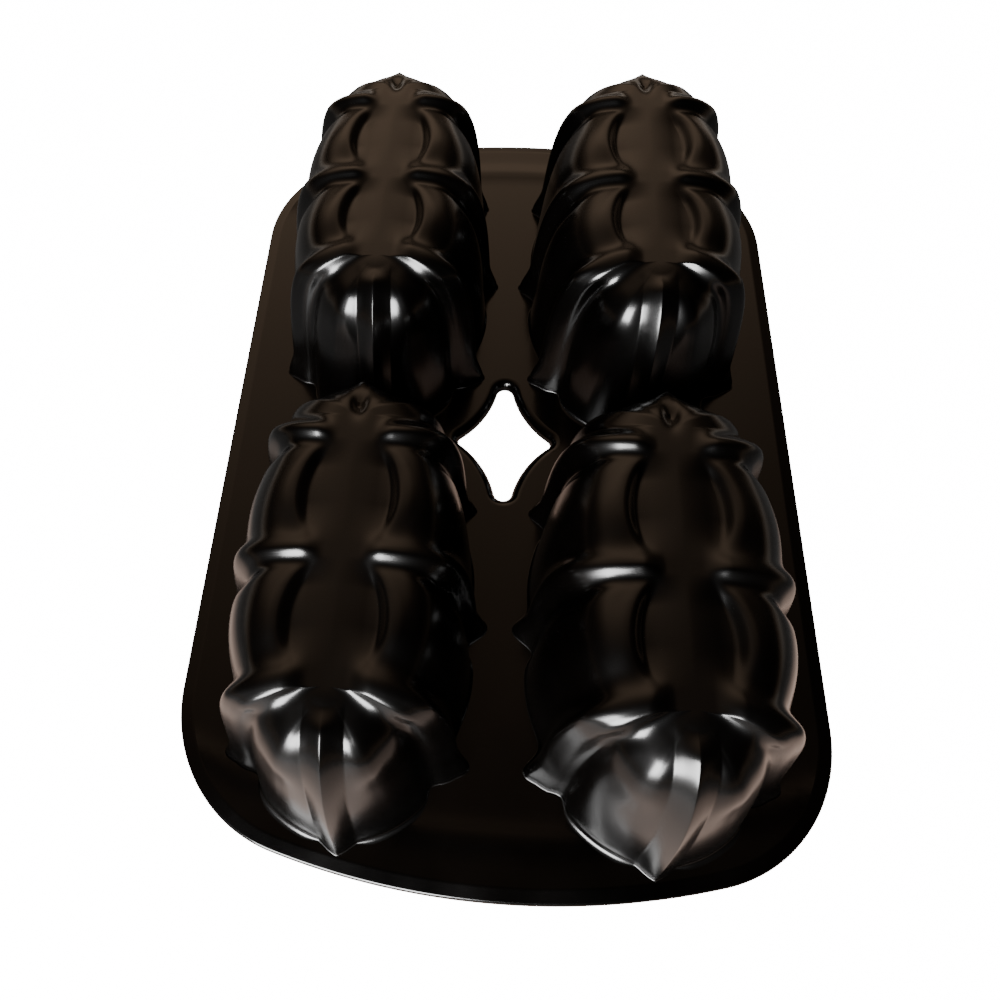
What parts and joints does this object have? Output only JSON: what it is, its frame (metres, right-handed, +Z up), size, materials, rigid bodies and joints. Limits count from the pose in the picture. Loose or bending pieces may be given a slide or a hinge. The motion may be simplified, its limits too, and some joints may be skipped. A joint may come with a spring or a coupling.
{
  "type": "mini loaf pan",
  "caption": "Rectangular bakeware pan with rounded corners, leaf-form mini loaf cavities rising from a flat deck round a pointed vent, for baking small shaped cakes.",
  "frame": {"origin": "on the table under the middle of the pan, at the level of the rim's foot", "axes": "+X to the right, +Y to the rear where the nubs are, +Z up out of the leaf forms; the pan lies upside down, so the cavities open towards -Z"},
  "size_m": [0.212, 0.319, 0.0673],
  "materials": {
    "nonstick_coat": "dark, glossy non-stick coat over cast metal"
  },
  "bodies": {
    "root": {"deck_plate": "nonstick_coat", "rim": "nonstick_coat", "vent_collar": "nonstick_coat", "cavity_front_left": "nonstick_coat", "cavity_front_right": "nonstick_coat", "cavity_rear_left": "nonstick_coat", "cavity_rear_right": "nonstick_coat"}
  },
  "joints": []
}
